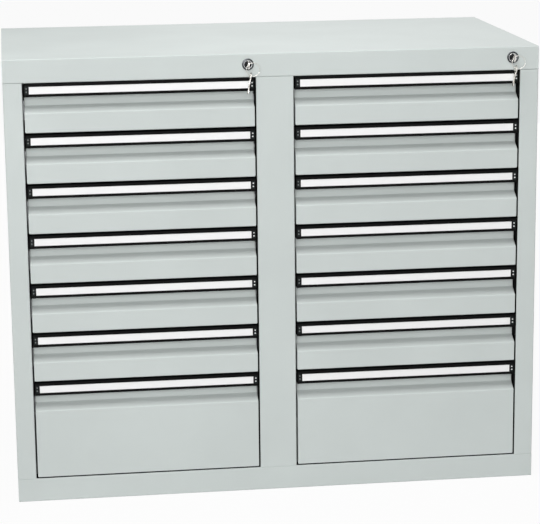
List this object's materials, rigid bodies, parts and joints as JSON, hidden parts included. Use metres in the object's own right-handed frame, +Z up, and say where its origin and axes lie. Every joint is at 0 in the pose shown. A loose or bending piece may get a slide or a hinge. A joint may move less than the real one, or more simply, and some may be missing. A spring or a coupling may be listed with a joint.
{
  "type": "reagent drawer cabinet",
  "caption": "Steel laboratory cabinet with two columns of pull-out drawers on telescopic slides, black grip rails with label strips, and a keyed bar lock over each column.",
  "frame": {"origin": "on the floor, under the middle of the whole cabinet including the keys that stand out in front", "axes": "+Z up, +X to the right of someone facing the front, front faces -Y"},
  "size_m": [1, 0.56, 0.845],
  "materials": {
    "painted_steel": "light grey powder coat, semi-matt",
    "zinc_steel": "zinc plated sheet",
    "black_plastic": "fine matt extrusion",
    "lock_chrome": "polished",
    "key_steel": "nickel plated"
  },
  "bodies": {
    "carcass": {"top_panel": "painted_steel", "base_pan": "painted_steel", "back_panel": "painted_steel", "centre_partition": "painted_steel", "side_panel_left": "painted_steel", "side_panel_right": "painted_steel", "slide_frames": "zinc_steel", "lock_housings": "lock_chrome"},
    "lock_plug_left": {"lock_plug_left": "lock_chrome"},
    "key_left": {"key_left": "key_steel"},
    "key_ring_left": {"key_ring_left": "key_steel"},
    "lock_bar_left": {"lock_bar_left": "zinc_steel"},
    "drawer_left_1": {"drawer_left_1": "painted_steel", "grip_left_1": "black_plastic"},
    "middle_rail_left_1": {"middle_rail_left_1": "zinc_steel"},
    "drawer_left_2": {"drawer_left_2": "painted_steel", "grip_left_2": "black_plastic"},
    "middle_rail_left_2": {"middle_rail_left_2": "zinc_steel"},
    "drawer_left_3": {"drawer_left_3": "painted_steel", "grip_left_3": "black_plastic"},
    "middle_rail_left_3": {"middle_rail_left_3": "zinc_steel"},
    "drawer_left_4": {"drawer_left_4": "painted_steel", "grip_left_4": "black_plastic"},
    "middle_rail_left_4": {"middle_rail_left_4": "zinc_steel"},
    "drawer_left_5": {"drawer_left_5": "painted_steel", "grip_left_5": "black_plastic"},
    "middle_rail_left_5": {"middle_rail_left_5": "zinc_steel"},
    "drawer_left_6": {"drawer_left_6": "painted_steel", "grip_left_6": "black_plastic"},
    "middle_rail_left_6": {"middle_rail_left_6": "zinc_steel"},
    "drawer_left_7": {"drawer_left_7": "painted_steel", "grip_left_7": "black_plastic"},
    "middle_rail_left_7": {"middle_rail_left_7": "zinc_steel"},
    "lock_plug_right": {"lock_plug_right": "lock_chrome"},
    "key_right": {"key_right": "key_steel"},
    "key_ring_right": {"key_ring_right": "key_steel"},
    "lock_bar_right": {"lock_bar_right": "zinc_steel"},
    "drawer_right_1": {"drawer_right_1": "painted_steel", "grip_right_1": "black_plastic"},
    "middle_rail_right_1": {"middle_rail_right_1": "zinc_steel"},
    "drawer_right_2": {"drawer_right_2": "painted_steel", "grip_right_2": "black_plastic"},
    "middle_rail_right_2": {"middle_rail_right_2": "zinc_steel"},
    "drawer_right_3": {"drawer_right_3": "painted_steel", "grip_right_3": "black_plastic"},
    "middle_rail_right_3": {"middle_rail_right_3": "zinc_steel"},
    "drawer_right_4": {"drawer_right_4": "painted_steel", "grip_right_4": "black_plastic"},
    "middle_rail_right_4": {"middle_rail_right_4": "zinc_steel"},
    "drawer_right_5": {"drawer_right_5": "painted_steel", "grip_right_5": "black_plastic"},
    "middle_rail_right_5": {"middle_rail_right_5": "zinc_steel"},
    "drawer_right_6": {"drawer_right_6": "painted_steel", "grip_right_6": "black_plastic"},
    "middle_rail_right_6": {"middle_rail_right_6": "zinc_steel"},
    "drawer_right_7": {"drawer_right_7": "painted_steel", "grip_right_7": "black_plastic"},
    "middle_rail_right_7": {"middle_rail_right_7": "zinc_steel"}
  },
  "joints": [
    {"name": "key_turn_left", "type": "hinge", "parent": "carcass", "child": "lock_plug_left", "pos_m": [-0.05, -0.26, 0.825], "axis": [0, -1, 0], "range_deg": [0, 90]},
    {"name": "lock_bar_slide_left", "type": "slide", "parent": "carcass", "child": "lock_bar_left", "axis": [0, 0, -1], "range_m": [0, 0.01697]},
    {"name": "key_pull_left", "type": "slide", "parent": "lock_plug_left", "child": "key_left", "axis": [0, -1, 0], "range_m": [0, 0.026]},
    {"name": "ring_slip_left", "type": "hinge", "parent": "key_left", "child": "key_ring_left", "pos_m": [-0.05, -0.272, 0.825], "axis": [0, -1, 0], "range_deg": [-90, 0]},
    {"name": "drawer_slide_left_1", "type": "slide", "parent": "carcass", "child": "drawer_left_1", "axis": [0, -1, 0], "range_m": [0, 0.43]},
    {"name": "rail_slide_left_1", "type": "slide", "parent": "carcass", "child": "middle_rail_left_1", "axis": [0, -1, 0], "range_m": [0, 0.215]},
    {"name": "drawer_slide_left_2", "type": "slide", "parent": "carcass", "child": "drawer_left_2", "axis": [0, -1, 0], "range_m": [0, 0.43]},
    {"name": "rail_slide_left_2", "type": "slide", "parent": "carcass", "child": "middle_rail_left_2", "axis": [0, -1, 0], "range_m": [0, 0.215]},
    {"name": "drawer_slide_left_3", "type": "slide", "parent": "carcass", "child": "drawer_left_3", "axis": [0, -1, 0], "range_m": [0, 0.43]},
    {"name": "rail_slide_left_3", "type": "slide", "parent": "carcass", "child": "middle_rail_left_3", "axis": [0, -1, 0], "range_m": [0, 0.215]},
    {"name": "drawer_slide_left_4", "type": "slide", "parent": "carcass", "child": "drawer_left_4", "axis": [0, -1, 0], "range_m": [0, 0.43]},
    {"name": "rail_slide_left_4", "type": "slide", "parent": "carcass", "child": "middle_rail_left_4", "axis": [0, -1, 0], "range_m": [0, 0.215]},
    {"name": "drawer_slide_left_5", "type": "slide", "parent": "carcass", "child": "drawer_left_5", "axis": [0, -1, 0], "range_m": [0, 0.43]},
    {"name": "rail_slide_left_5", "type": "slide", "parent": "carcass", "child": "middle_rail_left_5", "axis": [0, -1, 0], "range_m": [0, 0.215]},
    {"name": "drawer_slide_left_6", "type": "slide", "parent": "carcass", "child": "drawer_left_6", "axis": [0, -1, 0], "range_m": [0, 0.43]},
    {"name": "rail_slide_left_6", "type": "slide", "parent": "carcass", "child": "middle_rail_left_6", "axis": [0, -1, 0], "range_m": [0, 0.215]},
    {"name": "drawer_slide_left_7", "type": "slide", "parent": "carcass", "child": "drawer_left_7", "axis": [0, -1, 0], "range_m": [0, 0.43]},
    {"name": "rail_slide_left_7", "type": "slide", "parent": "carcass", "child": "middle_rail_left_7", "axis": [0, -1, 0], "range_m": [0, 0.215]},
    {"name": "key_turn_right", "type": "hinge", "parent": "carcass", "child": "lock_plug_right", "pos_m": [0.45, -0.26, 0.825], "axis": [0, -1, 0], "range_deg": [0, 90]},
    {"name": "lock_bar_slide_right", "type": "slide", "parent": "carcass", "child": "lock_bar_right", "axis": [0, 0, -1], "range_m": [0, 0.01697]},
    {"name": "key_pull_right", "type": "slide", "parent": "lock_plug_right", "child": "key_right", "axis": [0, -1, 0], "range_m": [0, 0.026]},
    {"name": "ring_slip_right", "type": "hinge", "parent": "key_right", "child": "key_ring_right", "pos_m": [0.45, -0.272, 0.825], "axis": [0, -1, 0], "range_deg": [-90, 0]},
    {"name": "drawer_slide_right_1", "type": "slide", "parent": "carcass", "child": "drawer_right_1", "axis": [0, -1, 0], "range_m": [0, 0.43]},
    {"name": "rail_slide_right_1", "type": "slide", "parent": "carcass", "child": "middle_rail_right_1", "axis": [0, -1, 0], "range_m": [0, 0.215]},
    {"name": "drawer_slide_right_2", "type": "slide", "parent": "carcass", "child": "drawer_right_2", "axis": [0, -1, 0], "range_m": [0, 0.43]},
    {"name": "rail_slide_right_2", "type": "slide", "parent": "carcass", "child": "middle_rail_right_2", "axis": [0, -1, 0], "range_m": [0, 0.215]},
    {"name": "drawer_slide_right_3", "type": "slide", "parent": "carcass", "child": "drawer_right_3", "axis": [0, -1, 0], "range_m": [0, 0.43]},
    {"name": "rail_slide_right_3", "type": "slide", "parent": "carcass", "child": "middle_rail_right_3", "axis": [0, -1, 0], "range_m": [0, 0.215]},
    {"name": "drawer_slide_right_4", "type": "slide", "parent": "carcass", "child": "drawer_right_4", "axis": [0, -1, 0], "range_m": [0, 0.43]},
    {"name": "rail_slide_right_4", "type": "slide", "parent": "carcass", "child": "middle_rail_right_4", "axis": [0, -1, 0], "range_m": [0, 0.215]},
    {"name": "drawer_slide_right_5", "type": "slide", "parent": "carcass", "child": "drawer_right_5", "axis": [0, -1, 0], "range_m": [0, 0.43]},
    {"name": "rail_slide_right_5", "type": "slide", "parent": "carcass", "child": "middle_rail_right_5", "axis": [0, -1, 0], "range_m": [0, 0.215]},
    {"name": "drawer_slide_right_6", "type": "slide", "parent": "carcass", "child": "drawer_right_6", "axis": [0, -1, 0], "range_m": [0, 0.43]},
    {"name": "rail_slide_right_6", "type": "slide", "parent": "carcass", "child": "middle_rail_right_6", "axis": [0, -1, 0], "range_m": [0, 0.215]},
    {"name": "drawer_slide_right_7", "type": "slide", "parent": "carcass", "child": "drawer_right_7", "axis": [0, -1, 0], "range_m": [0, 0.43]},
    {"name": "rail_slide_right_7", "type": "slide", "parent": "carcass", "child": "middle_rail_right_7", "axis": [0, -1, 0], "range_m": [0, 0.215]}
  ],
  "couplings": [
    {"joint": "key_turn_left", "follows": "lock_bar_slide_left", "rad_per_m": 92.56},
    {"joint": "ring_slip_left", "follows": "lock_bar_slide_left", "rad_per_m": -92.56},
    {"joint": "rail_slide_left_1", "follows": "drawer_slide_left_1", "ratio": 0.5},
    {"joint": "rail_slide_left_2", "follows": "drawer_slide_left_2", "ratio": 0.5},
    {"joint": "rail_slide_left_3", "follows": "drawer_slide_left_3", "ratio": 0.5},
    {"joint": "rail_slide_left_4", "follows": "drawer_slide_left_4", "ratio": 0.5},
    {"joint": "rail_slide_left_5", "follows": "drawer_slide_left_5", "ratio": 0.5},
    {"joint": "rail_slide_left_6", "follows": "drawer_slide_left_6", "ratio": 0.5},
    {"joint": "rail_slide_left_7", "follows": "drawer_slide_left_7", "ratio": 0.5},
    {"joint": "key_turn_right", "follows": "lock_bar_slide_right", "rad_per_m": 92.56},
    {"joint": "ring_slip_right", "follows": "lock_bar_slide_right", "rad_per_m": -92.56},
    {"joint": "rail_slide_right_1", "follows": "drawer_slide_right_1", "ratio": 0.5},
    {"joint": "rail_slide_right_2", "follows": "drawer_slide_right_2", "ratio": 0.5},
    {"joint": "rail_slide_right_3", "follows": "drawer_slide_right_3", "ratio": 0.5},
    {"joint": "rail_slide_right_4", "follows": "drawer_slide_right_4", "ratio": 0.5},
    {"joint": "rail_slide_right_5", "follows": "drawer_slide_right_5", "ratio": 0.5},
    {"joint": "rail_slide_right_6", "follows": "drawer_slide_right_6", "ratio": 0.5},
    {"joint": "rail_slide_right_7", "follows": "drawer_slide_right_7", "ratio": 0.5}
  ]
}
